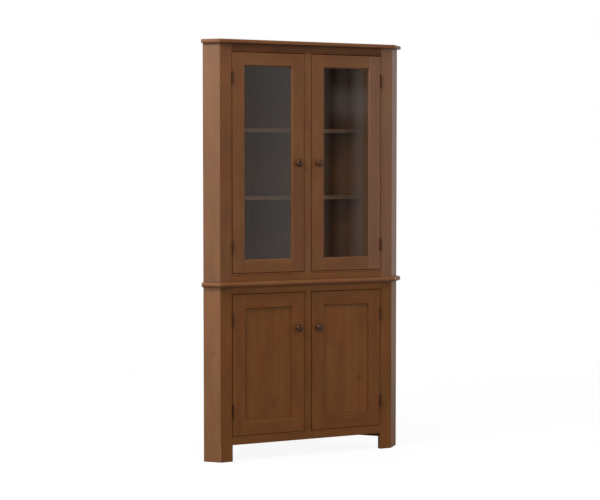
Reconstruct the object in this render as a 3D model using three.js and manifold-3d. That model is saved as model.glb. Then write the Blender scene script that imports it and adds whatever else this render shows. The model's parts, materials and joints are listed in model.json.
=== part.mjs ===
// Corner cupboard in two parts: a glazed upper unit standing on a base unit.
// In plan both units have a straight front, a narrow return at each side, and two wall
// sides that meet in the square corner of a room. Millimetres, +Z up, front towards -Y.

import * as THREE from "three";
import { mergeVertices } from "three/addons/utils/BufferGeometryUtils.js";
import Module from "manifold-3d";

const wasm = await Module();
wasm.setup();

// Overall sizes
const overallHeight = 1900;
const baseHeight = 814; // floor to the top of the waist board
const wallRun = 700; // each wall side, from the room's corner to the return
const returnWidth = 83;

// Fits
const seatGap = 0.3; // between pieces that meet on a slanting face, and round the pins
const doorGap = 2;
const cutOverrun = 6; // how far every cut runs past the wood

// Carcass boards
const returnThickness = 22;
const returnLip = 11; // what the rebate for the back leaves of the return's thickness
const backThickness = 12;
const backFloorClearance = 40;
const postSize = 45;
const floorThickness = 18;
const shelfThickness = 17;
const stopLip = 7; // how far a floor board stands above its rail, as a stop for the doors

// Tongued and grooved boards of the backs
const boardsPerBack = 9;
const jointWidth = 3.6;
const jointDepth = 2.4;

// Shelves
const upperShelfTops = [1195, 1508];
const upperShelfSetback = 165;
const baseShelfTop = 448;
const baseShelfSetback = 62;

// Top board and waist board
const topThickness = 17;
const topOverhang = 18;
const topLowerRounding = 3;
const topUpperRounding = 7;
const waistThickness = 23;
const waistOverhang = 20;
const edgeSteps = 5;

// Face frames
const frameThickness = 22;
const outerStileWidth = 58.5;
const centreStileWidth = 37;
const upperRailHeight = 37;
const baseTopRailHeight = 32.5;
const baseBottomRailHeight = 38.5;
const legHeight = 75; // floor to the underside of the base unit's bottom rail
const beadRadius = 4.2;
const quirkWidth = 0.6; // beyond the bead's full width
const quirkDepth = 1.6;
const beadSteps = 8;

// Mortise and tenon joints, in the face frames and in the doors
const tenonThickness = 8;
const tenonSetIn = 7; // front of the tenon behind the front of the frame
const tenonLength = 28;
const tenonShoulder = 9; // what the tenon is narrower than its rail, at each edge
const tenonEndRoom = 2;

// Doors
const doorThickness = 20;
const doorStileWidth = 61.5;
const glazedRailHeight = 60.5;
const panelledRailHeight = 64;
const doorArris = 1;
const glazedSticking = 5; // chamfer round the glass
const panelledSticking = 1.5; // chamfer round the panel

// Glass and its bead
const glassSetIn = 8; // front of the pane behind the front of the door
const glassThickness = 4;
const glassRoom = 1;
const rebateWidth = 8;
const glazingBeadSplay = 3.5;

// Door panel
const panelGroove = 8;
const panelRoom = 1.5;

// Butt hinges
const hingeLength = 57;
const hingeInset = 115; // end of the door to the middle of the hinge
const knuckleCount = 5;
const knuckleRadius = 3.3;
const pinRadius = 1.7;
const leafWidth = 16;
const leafThickness = 1.6;
const leafFit = 0.1;
const finialRadius = 2.6;
const hingeFacets = 12;
const finialSteps = 2;

// Knobs
const knobHeadRadius = 17;
const knobProjection = 29;
const knobNeckRadius = 8;
const knobRoseRadius = 10.5;
const knobRoseHeight = 3;
const knobNeckHeight = 11;
const knobRimHeight = 19;
const knobSpigotRadius = 4;
const knobSpigotLength = 17;
const upperKnobBelowTop = 496; // top of the door to the middle of the knob
const baseKnobBelowTop = 163;
const knobFacets = 20;
const knobSteps = 4;

// Sizes that follow
const cornerDepth = (wallRun + returnWidth) / Math.SQRT2;
const frontHalfWidth = (wallRun - returnWidth) / Math.SQRT2;
const openingInner = centreStileWidth / 2;
const openingOuter = frontHalfWidth - outerStileWidth;
const hingeAxis = openingOuter - doorGap / 2;
const pinProud = knuckleRadius + seatGap;
const waistUnderside = baseHeight - waistThickness;
const topUnderside = overallHeight - topThickness;
const beadWidth = 2 * beadRadius + quirkWidth;
const panelThickness = tenonThickness;
const knuckleLength = hingeLength / knuckleCount;
const baseOpening = [legHeight + baseBottomRailHeight, waistUnderside - baseTopRailHeight];
const upperOpening = [baseHeight + upperRailHeight, topUnderside - upperRailHeight];
const sides = [
  [-1, "left"],
  [1, "right"],
];

// Materials
const wood = new THREE.MeshStandardMaterial({ color: 0x67432a, roughness: 0.5, metalness: 0 });
const innerWood = new THREE.MeshStandardMaterial({ color: 0x5a3a26, roughness: 0.6, metalness: 0 });
const glassLook = new THREE.MeshStandardMaterial({
  color: 0xc4ccca,
  roughness: 0.05,
  metalness: 0,
  transparent: true,
  opacity: 0.35,
});
const bronze = new THREE.MeshStandardMaterial({ color: 0x35261f, roughness: 0.35, metalness: 0.8 });
const darkIron = new THREE.MeshStandardMaterial({ color: 0x2a2320, roughness: 0.45, metalness: 0.8 });

// A closed geometry as a solid that can be cut and joined.
function solidOf(geometry) {
  geometry.deleteAttribute("normal");
  geometry.deleteAttribute("uv");
  const merged = mergeVertices(geometry, 1e-5);
  const index = merged.index.array;
  const triangles = [];
  for (let i = 0; i < index.length; i += 3) {
    const [a, b, c] = [index[i], index[i + 1], index[i + 2]];
    if (a !== b && b !== c && c !== a) triangles.push(a, b, c);
  }
  return new wasm.Manifold(
    new wasm.Mesh({
      numProp: 3,
      vertProperties: merged.attributes.position.array,
      triVerts: new Uint32Array(triangles),
    }),
  );
}

function cut(solid, ...cutters) {
  return cutters.reduce((rest, cutter) => rest.subtract(cutter), solid);
}

function join(solid, ...others) {
  return others.reduce((sum, other) => sum.add(other), solid);
}

// Adds a solid to a group as one named piece.
function piece(group, name, solid, material) {
  const { vertProperties, triVerts } = solid.getMesh();
  const geometry = new THREE.BufferGeometry();
  geometry.setAttribute("position", new THREE.BufferAttribute(new Float32Array(vertProperties), 3));
  geometry.setIndex(new THREE.BufferAttribute(new Uint32Array(triVerts), 1));
  const flat = geometry.toNonIndexed();
  flat.computeVertexNormals();
  const mesh = new THREE.Mesh(flat, material);
  mesh.name = name;
  group.add(mesh);
  return mesh;
}

// An outline in plan, stood up between two heights.
function prism(outline, [low, high]) {
  const shape = new THREE.Shape(outline.map(([x, y]) => new THREE.Vector2(x, y)));
  const geometry = new THREE.ExtrudeGeometry(shape, { depth: high - low, bevelEnabled: false });
  geometry.translate(0, 0, low);
  return solidOf(geometry);
}

// A skin over rings of equal point counts: capped at its ends, or joined end to end.
function loft(rings, joined = false) {
  const count = rings[0].length;
  const rows = joined ? rings.length : rings.length - 1;
  const faces = [];
  for (let row = 0; row < rows; row += 1) {
    const here = row * count;
    const there = ((row + 1) % rings.length) * count;
    for (let i = 0; i < count; i += 1) {
      const next = (i + 1) % count;
      faces.push(here + i, here + next, there + next);
      faces.push(here + i, there + next, there + i);
    }
  }
  const last = rows * count;
  for (let i = 1; !joined && i < count - 1; i += 1) {
    faces.push(0, i + 1, i);
    faces.push(last, last + i, last + i + 1);
  }
  const geometry = new THREE.BufferGeometry();
  geometry.setAttribute("position", new THREE.Float32BufferAttribute(rings.flat(2), 3));
  geometry.setIndex(faces);
  return solidOf(geometry);
}

// A block between two values on each axis, given in either order.
function block(across, depth, upright) {
  const [left, right] = [Math.min(...across), Math.max(...across)];
  const [front, back] = [Math.min(...depth), Math.max(...depth)];
  const corners = [
    [left, front],
    [right, front],
    [right, back],
    [left, back],
  ];
  const heights = [Math.min(...upright), Math.max(...upright)];
  return loft(heights.map((z) => corners.map(([x, y]) => [x, y, z])));
}

// A turned solid whose profile is given as [radius, height], with its axis up or to the
// front, placed at a point.
function turned(profile, facets, facing, [x, y, z]) {
  const points = profile.map(([radius, height]) => new THREE.Vector2(radius, height));
  const geometry = new THREE.LatheGeometry(points, facets);
  geometry.rotateX(facing === "up" ? Math.PI / 2 : Math.PI);
  geometry.translate(x, y, z);
  return solidOf(geometry);
}

// Points of an arc as [a, b] pairs, from one angle to another in quarter turns.
function arc([a, b], radius, fromQuarter, toQuarter, steps) {
  return Array.from({ length: steps + 1 }, (_, i) => {
    const angle = ((fromQuarter + ((toQuarter - fromQuarter) * i) / steps) * Math.PI) / 2;
    return [a + radius * Math.cos(angle), b + radius * Math.sin(angle)];
  });
}

// A plan point from its distances to the left wall and to the right wall.
function fromWalls(toLeftWall, toRightWall) {
  return [
    (toLeftWall - toRightWall) / Math.SQRT2,
    cornerDepth - (toLeftWall + toRightWall) / Math.SQRT2,
  ];
}

// The plan point at a distance from the left wall and a distance behind the front.
function behindFront(toLeftWall, behind) {
  return [toLeftWall * Math.SQRT2 - cornerDepth + behind, behind];
}

function mirrored(outline) {
  return outline.map(([x, y]) => [-x, y]).reverse();
}

// A board's outline inside the cupboard's plan. Its edges lie behind the front and inside
// the outer faces of the returns and of the backs; a notch clears the corner post. A front
// that lies far enough back runs from wall to wall and doesn't reach the returns.
function planOutline(front, side, wall, notch = 0) {
  const reach = cornerDepth - wall * Math.SQRT2 - front;
  const [sideX] = behindFront(wallRun - side, front);
  const right = sideX < reach ? [[sideX, front], fromWalls(wallRun - side, wall)] : [[reach, front]];
  const notched = [[notch, 0], [notch, notch], [0, notch]];
  const corner = (notch > 0 ? notched : [[0, 0]]).map(([a, b]) => fromWalls(wall + a, wall + b));
  return [...right, ...corner, ...mirrored(right)];
}

// A board with a moulded edge on the front and the returns, flush on the wall sides.
function mouldedBoard([low, high], overhang, lowerRounding, upperRounding) {
  const lower = arc([overhang - lowerRounding, low + lowerRounding], lowerRounding, -1, 0, edgeSteps);
  const upper = arc([overhang - upperRounding, high - upperRounding], upperRounding, 0, 1, edgeSteps);
  const straight = high - low > lowerRounding + upperRounding;
  const edge = straight ? [...lower, ...upper] : [...lower, ...upper.slice(1)];
  return loft(edge.map(([out, z]) => planOutline(-out, -out, 0).map(([x, y]) => [x, y, z])));
}

// The four corners of an upright rectangle grown on all sides, at a depth behind the front.
function rectangle([xa, xb], [low, high], grow, depth) {
  const [left, right] = [Math.min(xa, xb) - grow, Math.max(xa, xb) + grow];
  return [
    [left, depth, low - grow],
    [right, depth, low - grow],
    [right, depth, high + grow],
    [left, depth, high + grow],
  ];
}

// A mitred ring round an opening, from a section of [out from the opening, depth] points.
function mitredRing(across, upright, section) {
  const corners = section.map(([out, depth]) => rectangle(across, upright, out, depth));
  return loft([3, 2, 1, 0].map((corner) => corners.map((ring) => ring[corner])), true);
}

// What is cut away round an opening to leave a bead with a quirk. The bead's far side ends
// at the quirk's bottom, which isn't as deep as the bead is round.
function beadCutter(across, upright) {
  const lastTurn = Math.asin(1 - quirkDepth / beadRadius) / (Math.PI / 2);
  return mitredRing(across, upright, [
    [-cutOverrun, -cutOverrun],
    [-cutOverrun, beadRadius],
    ...arc([beadRadius, beadRadius], beadRadius, -2, -lastTurn, beadSteps),
    [beadWidth, quirkDepth],
    [beadWidth, -cutOverrun],
  ]);
}

// What is cut away to chamfer all four inner edges of a door's frame.
function stickingCutter(across, upright, chamfer) {
  return loft([
    rectangle(across, upright, 0, chamfer),
    rectangle(across, upright, chamfer + cutOverrun, -cutOverrun),
  ]);
}

// What is cut away to take the arris off the outer edges of a door's front.
function arrisCutter(across, upright) {
  return mitredRing(across, upright, [
    [-doorArris - cutOverrun, -cutOverrun],
    [cutOverrun, doorArris + cutOverrun],
    [cutOverrun, -cutOverrun],
  ]);
}

// A tenon or, with room at its end, the mortise for it. It starts inside its rail and lies
// in the middle of the rail's height.
function tenon([shoulder, tip], [low, high], endRoom = 0) {
  const outward = Math.sign(tip - shoulder);
  const along = [shoulder - outward * cutOverrun, tip + outward * endRoom];
  const depth = [tenonSetIn, tenonSetIn + tenonThickness];
  return block(along, depth, [low + tenonShoulder, high - tenonShoulder]);
}

// The same on the end of an upright stile.
function uprightTenon([left, right], [shoulder, tip], endRoom = 0) {
  const outward = Math.sign(tip - shoulder);
  const upright = [shoulder - outward * cutOverrun, tip + outward * endRoom];
  const depth = [tenonSetIn, tenonSetIn + tenonThickness];
  return block([left + tenonShoulder, right - tenonShoulder], depth, upright);
}

// Carcass pieces

function outerStileOutline() {
  return [
    [openingOuter, 0],
    behindFront(wallRun, 0),
    behindFront(wallRun - returnThickness, frameThickness),
    [openingOuter, frameThickness],
  ];
}

function returnOutline() {
  const [rebate, inner] = [wallRun - returnLip, wallRun - returnThickness];
  const [outerX, outerY] = behindFront(wallRun, 0);
  const [innerX, innerY] = behindFront(inner, frameThickness);
  const back = seatGap / Math.SQRT2;
  return [
    [outerX + back, outerY + back],
    fromWalls(wallRun, 0),
    fromWalls(rebate, 0),
    fromWalls(rebate, backThickness + seatGap),
    fromWalls(inner, backThickness + seatGap),
    [innerX + back, innerY + back],
  ];
}

// A back's outline from the corner forwards, with a V at each joint of its boards, on both
// faces. The near face is the one towards the room.
function backOutline(start, end) {
  const pitch = end / boardsPerBack;
  const joints = Array.from({ length: boardsPerBack - 1 }, (_, i) => (i + 1) * pitch);
  const notches = (face, depth) =>
    joints.flatMap((at) => [
      [at - jointWidth / 2, face],
      [at, depth],
      [at + jointWidth / 2, face],
    ]);
  const edge = (face, depth) => [[start, face], ...notches(face, depth), [end, face]];
  return [...edge(0, jointDepth), ...edge(backThickness, backThickness - jointDepth).reverse()];
}

function backs(group, unit, upright) {
  const end = wallRun - returnLip - seatGap;
  const right = backOutline(0, end).map(([along, inward]) => fromWalls(along, inward));
  const left = backOutline(backThickness + seatGap, end).map(([along, inward]) => fromWalls(inward, along));
  piece(group, unit + "_right_back", prism(right, upright), innerWood);
  piece(group, unit + "_left_back", prism(left, upright), innerWood);
}

function returns(group, unit, upright) {
  piece(group, unit + "_right_return", prism(returnOutline(), upright), wood);
  piece(group, unit + "_left_return", prism(mirrored(returnOutline()), upright), wood);
}

// The recess in an outer stile for the leaf of a hinge.
function leafRecess(side, middle) {
  const half = hingeLength / 2 + leafFit;
  const deep = openingOuter + leafThickness + leafFit;
  return block(
    [side * (openingOuter - cutOverrun), side * deep],
    [-cutOverrun, leafWidth + leafFit],
    [middle - half, middle + half],
  );
}

function hingeMiddles([low, high]) {
  return [low + doorGap + hingeInset, high - doorGap - hingeInset];
}

function faceFrame(group, unit, stileUpright, opening, bottomRail, topRail) {
  const [low, high] = opening;
  const beads = [-1, 1].map((side) => beadCutter([side * openingInner, side * openingOuter], opening));
  const rails = [
    ["_bottom_rail", bottomRail],
    ["_top_rail", topRail],
  ];
  for (const [side, sideName] of sides) {
    const outline = side > 0 ? outerStileOutline() : mirrored(outerStileOutline());
    const joints = rails.map(([, upright]) =>
      tenon([side * openingOuter, side * (openingOuter + tenonLength)], upright, tenonEndRoom),
    );
    const recesses = hingeMiddles(opening).map((middle) => leafRecess(side, middle));
    const stile = cut(prism(outline, stileUpright), ...beads, ...joints, ...recesses);
    piece(group, unit + "_" + sideName + "_stile", stile, wood);
  }
  const centre = [-openingInner, openingInner];
  const centreLength = tenonLength - tenonShoulder;
  for (const [name, upright] of rails) {
    const rail = join(
      block([-openingOuter, openingOuter], [0, frameThickness], upright),
      ...[-1, 1].map((side) => tenon([side * openingOuter, side * (openingOuter + tenonLength)], upright)),
    );
    const mortises = [
      uprightTenon(centre, [low, low - centreLength], tenonEndRoom),
      uprightTenon(centre, [high, high + centreLength], tenonEndRoom),
    ];
    piece(group, unit + name, cut(rail, ...mortises, ...beads), wood);
  }
  const stile = join(
    block(centre, [0, frameThickness], opening),
    uprightTenon(centre, [low, low - centreLength]),
    uprightTenon(centre, [high, high + centreLength]),
  );
  piece(group, unit + "_centre_stile", cut(stile, ...beads), wood);
}

function innerBoard(front, top, thickness, notch = 0) {
  const outline = planOutline(front, returnThickness + seatGap, backThickness + seatGap, notch);
  return prism(outline, [top - thickness, top]);
}

function baseUnit() {
  const group = new THREE.Group();
  const standing = [0, waistUnderside];
  faceFrame(
    group,
    "base",
    standing,
    baseOpening,
    [legHeight, baseOpening[0]],
    [baseOpening[1], waistUnderside],
  );
  returns(group, "base", standing);
  backs(group, "base", [backFloorClearance, waistUnderside]);
  const near = backThickness + seatGap;
  const far = near + postSize;
  const post = [fromWalls(near, near), fromWalls(near, far), fromWalls(far, far), fromWalls(far, near)];
  piece(group, "base_back_post", prism(post, standing), innerWood);
  const notch = postSize + seatGap;
  const floorTop = baseOpening[0] + stopLip;
  piece(group, "base_floor", innerBoard(frameThickness, floorTop, floorThickness, notch), innerWood);
  piece(group, "base_shelf", innerBoard(baseShelfSetback, baseShelfTop, shelfThickness, notch), innerWood);
  const nose = waistThickness / 2;
  piece(group, "waist_board", mouldedBoard([waistUnderside, baseHeight], waistOverhang, nose, nose), wood);
  return group;
}

function upperUnit() {
  const group = new THREE.Group();
  const standing = [baseHeight, topUnderside];
  faceFrame(
    group,
    "upper",
    standing,
    upperOpening,
    [baseHeight, upperOpening[0]],
    [upperOpening[1], topUnderside],
  );
  returns(group, "upper", standing);
  backs(group, "upper", standing);
  const floorTop = upperOpening[0] + stopLip;
  piece(group, "upper_floor", innerBoard(frameThickness, floorTop, floorThickness), innerWood);
  ["upper_shelf_low", "upper_shelf_high"].forEach((name, i) => {
    piece(group, name, innerBoard(upperShelfSetback, upperShelfTops[i], shelfThickness), innerWood);
  });
  const edges = [topLowerRounding, topUpperRounding];
  piece(group, "top_board", mouldedBoard([topUnderside, overallHeight], topOverhang, ...edges), wood);
  return group;
}

// Hinges. Each is drawn about a point on the door's front face, in the middle of the gap;
// towards is the direction of the leaf's own side, -1 or 1.

function knuckleSpan(i, middle) {
  const low = middle + i * knuckleLength - hingeLength / 2;
  return [low, low + knuckleLength];
}

// A barrel turned about the pin, which stands proud of the door's front.
function onPin(profile) {
  return turned(profile, hingeFacets, "up", [0, -pinProud, 0]);
}

function leaf(towards, middle, knuckles) {
  const across = [(towards * doorGap) / 2, towards * (doorGap / 2 + leafThickness)];
  const plate = block(across, [0, leafWidth], [middle - hingeLength / 2, middle + hingeLength / 2]);
  return join(plate, ...knuckles.map((span) => block(across, [-pinProud, leafThickness], span)));
}

function frameLeaf(side) {
  const spans = Array.from({ length: knuckleCount }, (_, i) => knuckleSpan(i, 0));
  const own = spans.filter((_, i) => i % 2 === 0);
  const barrel = spans.flatMap(([low, high], i) => {
    const radius = i % 2 === 0 ? knuckleRadius : pinRadius;
    return [
      [radius, low],
      [radius, high],
    ];
  });
  const half = hingeLength / 2;
  const foot = arc([0, -half], finialRadius, -1, 0, finialSteps);
  const tip = arc([0, half], finialRadius, 0, 1, finialSteps);
  return join(onPin([...foot, ...barrel, ...tip]), leaf(side, 0, own));
}

function doorLeaf(away, middle) {
  const bore = pinRadius + seatGap;
  const own = [];
  for (let i = 1; i < knuckleCount; i += 2) {
    const [low, high] = knuckleSpan(i, middle);
    own.push([low + seatGap, high - seatGap]);
  }
  const hole = onPin([
    [0, own[0][0] - cutOverrun],
    [bore, own[0][0] - cutOverrun],
    [bore, own[own.length - 1][1] + cutOverrun],
    [0, own[own.length - 1][1] + cutOverrun],
  ]);
  const knuckles = own.map(([low, high]) =>
    onPin([
      [0, low],
      [knuckleRadius, low],
      [knuckleRadius, high],
      [0, high],
    ]),
  );
  return cut(join(leaf(away, middle, own), ...knuckles), hole);
}

function frameHinges(unit, opening) {
  const group = new THREE.Group();
  for (const [side, sideName] of sides) {
    hingeMiddles(opening).forEach((middle, i) => {
      const name = unit + "_" + sideName + "_door_hinge_" + ["low", "high"][i];
      const hinge = piece(group, name, frameLeaf(side), darkIron);
      hinge.position.set(side * hingeAxis, 0, middle);
    });
  }
  return group;
}

// Knobs are turned about a line square to the door, with a spigot into the stile.
function knob() {
  const foot = [
    [0, -knobSpigotLength],
    [knobSpigotRadius, -knobSpigotLength],
    [knobSpigotRadius, 0],
    [knobRoseRadius, 0],
    [knobRoseRadius, knobRoseHeight / 2],
    [knobNeckRadius, knobRoseHeight],
  ];
  const cup = arc([0, 0], 1, 0, 1, knobSteps).map(([across, up]) => [
    knobNeckRadius + (knobHeadRadius - knobNeckRadius) * up,
    knobRimHeight - (knobRimHeight - knobNeckHeight) * across,
  ]);
  const dome = arc([0, 0], 1, 0, 1, knobSteps).map(([across, up]) => [
    knobHeadRadius * across,
    knobRimHeight + (knobProjection - knobRimHeight) * up,
  ]);
  return turned([...foot, ...cup, ...dome.slice(1)], knobFacets, "front", [0, 0, 0]);
}

function knobHole(x, z) {
  const radius = knobSpigotRadius + seatGap;
  const deep = -knobSpigotLength - seatGap;
  const profile = [
    [0, deep],
    [radius, deep],
    [radius, cutOverrun],
    [0, cutOverrun],
  ];
  return turned(profile, knobFacets, "front", [x, 0, z]);
}

// Doors. Each group's origin is on the door's front face, in the middle of the gap at its
// hinges, at the door's lower end; away is the direction from the hinges to the lock.
function door(unit, side, sideName, opening, glazed) {
  const away = -side;
  const name = unit + "_" + sideName + "_door";
  const group = new THREE.Group();
  group.position.set(side * hingeAxis, 0, opening[0] + doorGap);

  const hingeEdge = doorGap / 2;
  const lockEdge = openingOuter - openingInner - (3 * doorGap) / 2;
  const height = opening[1] - opening[0] - 2 * doorGap;
  const railHeight = glazed ? glazedRailHeight : panelledRailHeight;
  const inner = [hingeEdge + doorStileWidth, lockEdge - doorStileWidth];
  const across = (grow) => [away * (inner[0] - grow), away * (inner[1] + grow)];
  const upright = (grow) => [railHeight - grow, height - railHeight + grow];
  const seat = (grow, depth) => block(across(grow), depth, upright(grow));

  const groove = [tenonSetIn, tenonSetIn + panelThickness];
  const cutters = [
    arrisCutter([away * hingeEdge, away * lockEdge], [0, height]),
    stickingCutter(across(0), upright(0), glazed ? glazedSticking : panelledSticking),
    glazed ? seat(rebateWidth, [glassSetIn, doorThickness + cutOverrun]) : seat(panelGroove, groove),
  ];

  const rails = [
    ["_bottom_rail", [0, railHeight]],
    ["_top_rail", [height - railHeight, height]],
  ];
  const tenonAt = (end, span, room) => {
    const outward = end === 0 ? -away : away;
    return tenon([away * inner[end], away * inner[end] + outward * tenonLength], span, room);
  };
  for (const [railName, span] of rails) {
    const rail = block([away * inner[0], away * inner[1]], [0, doorThickness], span);
    piece(group, name + railName, cut(join(rail, tenonAt(0, span), tenonAt(1, span)), ...cutters), wood);
  }
  const stile = (end, from, to) => {
    const mortises = rails.map(([, span]) => tenonAt(end, span, tenonEndRoom));
    return cut(block([away * from, away * to], [0, doorThickness], [0, height]), ...cutters, ...mortises);
  };
  const leaves = [hingeInset, height - hingeInset].map((middle) => doorLeaf(away, middle));
  piece(group, name + "_hinge_stile", join(stile(0, hingeEdge, inner[0]), ...leaves), wood);

  const knobAt = away * (lockEdge - doorStileWidth / 2);
  const knobHeight = height - (glazed ? upperKnobBelowTop : baseKnobBelowTop);
  const lockStile = cut(stile(1, inner[1], lockEdge), knobHole(knobAt, knobHeight));
  piece(group, name + "_lock_stile", lockStile, wood);
  piece(group, name + "_knob", knob(), bronze).position.set(knobAt, 0, knobHeight);

  if (glazed) {
    const glassBack = glassSetIn + glassThickness;
    const pane = seat(rebateWidth - glassRoom, [glassSetIn, glassBack]);
    piece(group, name + "_glass", pane, glassLook);
    const bead = mitredRing(across(0), upright(0), [
      [0, glassBack],
      [0, doorThickness - glazingBeadSplay],
      [glazingBeadSplay, doorThickness],
      [rebateWidth, doorThickness],
      [rebateWidth, glassBack],
    ]);
    piece(group, name + "_glazing_bead", bead, wood);
  } else {
    piece(group, name + "_panel", seat(panelGroove - panelRoom, groove), wood);
  }
  return group;
}

const cupboard = new THREE.Group();
cupboard.add(baseUnit(), frameHinges("base", baseOpening));
cupboard.add(upperUnit(), frameHinges("upper", upperOpening));
for (const [side, sideName] of sides) {
  cupboard.add(door("base", side, sideName, baseOpening, false));
  cupboard.add(door("upper", side, sideName, upperOpening, true));
}

// The origin lies on the floor, under the middle of the cupboard's outer box.
cupboard.position.y = (knobProjection - cornerDepth) / 2;

export default cupboard;
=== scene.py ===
"""Looks of a corner cupboard: dark stained wood with a satin finish, glazed upper doors,
bronze knobs and dark hinges. Everything is in metres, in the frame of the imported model."""

import json
import math
import random

import bmesh
import bpy
from mathutils import Matrix, Vector
from mathutils.bvhtree import BVHTree


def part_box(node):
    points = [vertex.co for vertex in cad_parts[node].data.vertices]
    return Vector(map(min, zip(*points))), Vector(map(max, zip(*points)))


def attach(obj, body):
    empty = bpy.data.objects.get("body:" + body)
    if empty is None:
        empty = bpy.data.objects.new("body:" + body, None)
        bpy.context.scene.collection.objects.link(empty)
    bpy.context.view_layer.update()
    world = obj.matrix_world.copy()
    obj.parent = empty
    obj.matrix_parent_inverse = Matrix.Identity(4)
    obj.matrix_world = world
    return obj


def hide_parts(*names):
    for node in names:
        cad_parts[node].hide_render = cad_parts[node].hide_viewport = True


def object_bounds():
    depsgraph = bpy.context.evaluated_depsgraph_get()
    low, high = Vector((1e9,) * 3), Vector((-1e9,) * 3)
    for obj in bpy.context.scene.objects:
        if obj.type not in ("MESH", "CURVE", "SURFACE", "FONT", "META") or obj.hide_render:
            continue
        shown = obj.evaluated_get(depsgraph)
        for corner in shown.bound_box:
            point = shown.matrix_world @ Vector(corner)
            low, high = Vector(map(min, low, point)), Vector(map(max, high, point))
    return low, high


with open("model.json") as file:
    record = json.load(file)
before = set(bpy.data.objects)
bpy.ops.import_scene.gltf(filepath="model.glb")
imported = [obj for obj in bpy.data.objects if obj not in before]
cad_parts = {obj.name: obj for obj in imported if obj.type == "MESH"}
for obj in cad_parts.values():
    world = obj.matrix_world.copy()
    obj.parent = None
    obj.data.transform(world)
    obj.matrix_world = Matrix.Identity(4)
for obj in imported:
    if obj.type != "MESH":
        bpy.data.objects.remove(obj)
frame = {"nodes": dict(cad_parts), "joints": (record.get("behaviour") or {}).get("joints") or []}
cad_low, cad_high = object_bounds()

MM = 0.001
nodes = frame["nodes"]
doors = ["base_left_door", "base_right_door", "upper_left_door", "upper_right_door"]

# Kinds of pieces, by the endings of their nodes' names
INNER_ENDINGS = ("_back", "_post", "_floor", "_shelf", "_shelf_low", "_shelf_high")
LYING_ENDINGS = ("_rail", "_board", "_floor", "_shelf", "_shelf_low", "_shelf_high")
NOT_WOOD_ENDINGS = ("_glass", "_knob", "_hinge_low", "_hinge_high")

# Camera: place and direction worked out from the photograph, which is 600 pixels wide
CAMERA_PLACE = (-3.1610, -6.8037, 1.3438)
CAMERA_DIRECTION = (0.42983, 0.90128, -0.05413)
FOCAL_PIXELS = 1584.73
PHOTO_WIDTH = 600
SENSOR_WIDTH = 36

# Floor and world
WHITE = (1, 1, 1, 1)
FLOOR_SIZE = 40
FLOOR_WHITE = 0.92  # how much of the floor's look near the cupboard is plain white, not shading
FLOOR_MIRRORED = 0.3  # the same share, as the object's own gloss sees it
FLOOR_NEAR, FLOOR_FAR = 1.2, 4.0  # between these distances it turns all white
FLOOR_SEEN = 0.75  # the grey of its shaded share, where it is looked at
FLOOR_LIT = 0.28  # and where it lights the object
AMBIENT = 1.05  # the strength of the soft light from all round

# Square softboxes that face the cupboard: place, side and level, in which 1 is white
SOFTBOXES = {
    "key_softbox": ((-2.82, -1.13, 3.40), 0.9, 41.0),
    "left_softbox": ((-2.99, 0.16, 1.20), 1.3, 4.0),
    "right_softbox": ((2.60, -1.60, 2.20), 0.9, 1.8),
    "top_softbox": ((-0.30, -0.90, 3.80), 1.0, 2.6),
}

# A glowing card on the camera's side, which is no lamp: seen only in reflections, above all in
# the panes, it paints reflections into them and a painted sheen onto the wood
CARD_DISTANCE = 3.3
CARD_LEFT, CARD_RIGHT = -0.6, 3.0
CARD_FOOT, CARD_HEAD = 0.35, 2.45
CARD_FADE = 0.26  # over this much at its foot and head it turns into the white around it
CARD_GREY = (1.06, 0.98, 0.93)
CARD_BROWN = (1.35, 0.90, 0.55)
# Painted reflections: the dark stops paint the shadows on the backs inside into the panes, the
# brown ones the lit wood inside, and the bright stops at the right a painted sheen on the upper
# unit's right stiles
CARD_TONES = (  # from left to right: place, level and tint
    (-0.60, 1.00, CARD_GREY),
    (0.20, 0.40, CARD_GREY),
    (0.95, 0.38, CARD_GREY),
    (1.05, 0.50, CARD_GREY),
    (1.30, 0.68, CARD_GREY),
    (1.56, 0.60, CARD_BROWN),
    (1.62, 0.14, CARD_GREY),
    (1.66, 0.03, CARD_GREY),
    (1.73, 0.18, CARD_GREY),
    (1.79, 0.12, CARD_GREY),
    (1.87, 0.52, CARD_GREY),
    (1.90, 0.44, CARD_BROWN),
    (1.96, 0.34, CARD_BROWN),
    (2.07, 2.00, CARD_GREY),
    (2.60, 2.00, CARD_GREY),
    (3.00, 1.00, CARD_GREY),
)
CARD_PEAK = max(level for place, level, tint in CARD_TONES)
PATCH_LEFT = 1.60  # painted light: a brighter patch on the card, from here to its right end, which the panes show as a pool of light on the backs inside
PATCH_FOOT, PATCH_HEAD = 1.72, 1.80
PATCH_SOFTNESS = 0.09
PATCH_TONE = 0.24

# Stains: their dark, middle and light colours
STAIN = ((0.072, 0.0218, 0.0034), (0.118, 0.0390, 0.0069), (0.164, 0.0598, 0.0127))
# The inside's stain is darker than the outside's, partly as a stain and partly as painted shade
# inside the cupboard
INNER_STAIN_AND_SHADE = ((0.060, 0.0190, 0.0045), (0.099, 0.0345, 0.0090), (0.138, 0.0520, 0.0155))
# Painted light: the shelves' front faces take a lighter stain, for the light that falls on them
LIT_SHELF_FRONT_STAIN = ((0.092, 0.0420, 0.0220), (0.137, 0.0680, 0.0400), (0.182, 0.0970, 0.0610))
RED_TINT = (1.04, 0.92, 0.94, 1)  # the stain's hue wanders between these two
YELLOW_TINT = (0.97, 1.07, 1.04, 1)
HUE_RANGE = (0.3, 0.7)  # of the hue noise, from the one tint to the other

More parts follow.
